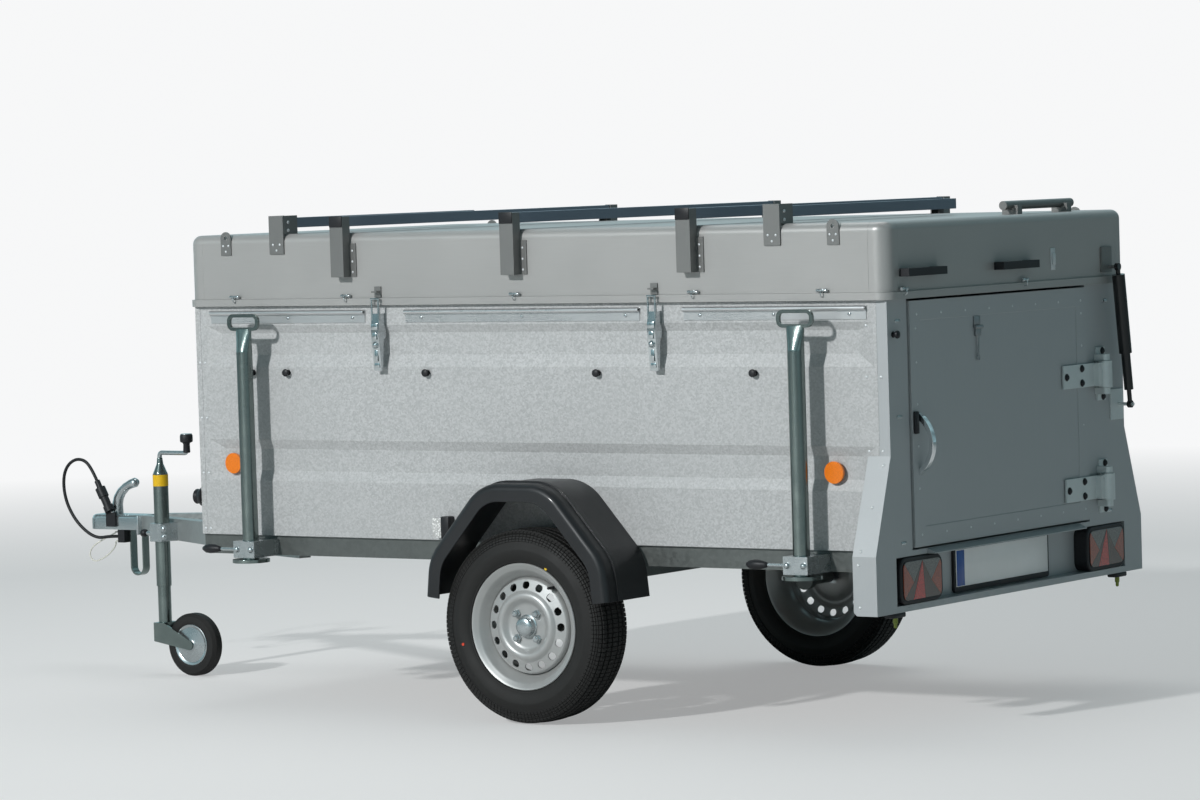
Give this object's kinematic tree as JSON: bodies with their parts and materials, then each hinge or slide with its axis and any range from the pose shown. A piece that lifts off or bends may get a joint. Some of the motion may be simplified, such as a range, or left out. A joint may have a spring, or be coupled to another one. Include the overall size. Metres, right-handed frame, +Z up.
{
  "type": "box camper trailer with hinged lid",
  "caption": "Galvanised box camper trailer with a side-hinged lid, tail door, drop stands, roof bars, jockey wheel and ball coupling.",
  "frame": {"origin": "on the ground under the middle of the trailer's length and width, cables apart", "axes": "+X forward to the coupling, +Y to the trailer's left, +Z up"},
  "size_m": [3.6368, 1.744, 1.464],
  "materials": {
    "galvanised": "spangled galvanised sheet",
    "zinc": "bright zinc plating",
    "lid_aluminium": "satin aluminium sheet",
    "tail_aluminium": "satin aluminium sheet",
    "bracket_grey": "grey anodised brackets",
    "bar_grey": "dark blue-grey anodised bars",
    "black_plastic": "moulded black plastic",
    "rubber": "black cable sheath",
    "tyre": "rubber",
    "rim_silver": "silver paint",
    "lamp": "moulded lamp lens",
    "amber": "amber reflector",
    "clear_lamp": "clear marker lens",
    "chrome": "bright chrome",
    "strut_black": "black paint",
    "floor_wood": "brown coated plywood",
    "cord_white": "plastic coated wire",
    "jockey_rubber": "solid rubber on a steel disc"
  },
  "bodies": {
    "trailer": {"drawbar_arms": "galvanised", "coupling_head": "zinc", "coupling_lever": "zinc", "plug_holder": "black_plastic", "plug": "black_plastic", "plug_cable": "rubber", "breakaway_cable": "cord_white", "drawbar_hoop": "zinc", "jockey_clamp": "zinc", "jockey_outer_tube": "zinc", "jockey_crank": "zinc", "side_rails": "galvanised", "cross_members": "galvanised", "axle_beam": "galvanised", "axle_arms": "galvanised", "floor_panel": "floor_wood", "side_wall_left": "galvanised", "side_wall_right": "galvanised", "front_wall": "galvanised", "rear_frame": "tail_aluminium", "rear_rails": "tail_aluminium", "rear_lamps": "lamp", "plate_holder": "black_plastic", "fender_left": "black_plastic", "fender_right": "black_plastic", "awning_rails": "lid_aluminium", "toggle_latches": "zinc", "side_reflectors": "amber", "front_markers": "clear_lamp", "stand_clamps": "zinc", "body_hinge_leaves": "zinc", "rear_post_fittings": "zinc"},
    "lid": {"lid_roof": "lid_aluminium", "lid_side_left": "lid_aluminium", "lid_side_right": "lid_aluminium", "lid_end_panels": "lid_aluminium", "lid_corners": "lid_aluminium", "lid_rim": "lid_aluminium", "roof_bars": "bar_grey", "lid_brackets": "bracket_grey", "lid_handles": "black_plastic", "lid_hinge_leaves": "zinc"},
    "leg_front": {"leg_front": "bar_grey"},
    "leg_rear": {"leg_rear": "bar_grey"},
    "strut": {"gas_strut": "strut_black"},
    "door": {"door_panel": "tail_aluminium", "door_handle": "chrome", "door_hinge_leaves": "zinc"},
    "stand_front_left": {"stand_front_left": "zinc"},
    "stand_front_right": {"stand_front_right": "zinc"},
    "stand_rear_left": {"stand_rear_left": "zinc"},
    "stand_rear_right": {"stand_rear_right": "zinc"},
    "wheel_left": {"tyre_left": "tyre", "rim_left": "rim_silver"},
    "wheel_right": {"tyre_right": "tyre", "rim_right": "rim_silver"},
    "jockey_lift": {"jockey_spindle": "zinc"},
    "jockey_swivel": {"jockey_leg": "zinc"},
    "jockey_roller": {"jockey_wheel": "jockey_rubber"}
  },
  "joints": [
    {"name": "lid_hinge", "type": "hinge", "parent": "trailer", "child": "lid", "pos_m": [0, -0.724, 1.194], "axis": [1, 0, 0], "range_deg": [0, 180]},
    {"name": "strut_swing", "type": "hinge", "parent": "trailer", "child": "strut", "pos_m": [-1.753, -0.618, 0.835], "axis": [1, 0, 0], "range_deg": [-1, 49.59]},
    {"name": "door_hinge", "type": "hinge", "parent": "trailer", "child": "door", "pos_m": [-1.738, -0.5, 0.849], "axis": [0, 0, 1], "range_deg": [0, 110]},
    {"name": "leg_rear_fold", "type": "hinge", "parent": "lid", "child": "leg_rear", "pos_m": [-1.352, 0.638, 1.442], "axis": [-1, 0, 0], "range_deg": [0, 90]},
    {"name": "leg_front_fold", "type": "hinge", "parent": "lid", "child": "leg_front", "pos_m": [0.412, 0.638, 1.442], "axis": [-1, 0, 0], "range_deg": [0, 90]},
    {"name": "stand_front_left_drop", "type": "slide", "parent": "trailer", "child": "stand_front_left", "axis": [0, 0, -1], "range_m": [0, 0.428]},
    {"name": "stand_front_right_drop", "type": "slide", "parent": "trailer", "child": "stand_front_right", "axis": [0, 0, -1], "range_m": [0, 0.428]},
    {"name": "stand_rear_left_drop", "type": "slide", "parent": "trailer", "child": "stand_rear_left", "axis": [0, 0, -1], "range_m": [0, 0.428]},
    {"name": "stand_rear_right_drop", "type": "slide", "parent": "trailer", "child": "stand_rear_right", "axis": [0, 0, -1], "range_m": [0, 0.428]},
    {"name": "wheel_left_spin", "type": "hinge", "parent": "trailer", "child": "wheel_left", "pos_m": [-0.573, 0.772, 0.28], "axis": [0, 1, 0], "continuous": true},
    {"name": "wheel_right_spin", "type": "hinge", "parent": "trailer", "child": "wheel_right", "pos_m": [-0.573, -0.772, 0.28], "axis": [0, 1, 0], "continuous": true},
    {"name": "jockey_lift", "type": "slide", "parent": "trailer", "child": "jockey_lift", "axis": [0, 0, 1], "range_m": [0, 0.105]},
    {"name": "jockey_swivel", "type": "hinge", "parent": "jockey_lift", "child": "jockey_swivel", "pos_m": [1.339, 0.165, 0.168], "axis": [0, 0, 1], "continuous": true},
    {"name": "jockey_spin", "type": "hinge", "parent": "jockey_swivel", "child": "jockey_roller", "pos_m": [1.217, 0.165, 0.1], "axis": [0, 1, 0], "continuous": true}
  ],
  "couplings": [
    {"joint": "strut_swing", "follows": "lid_hinge", "ratio": 0.26993}
  ]
}
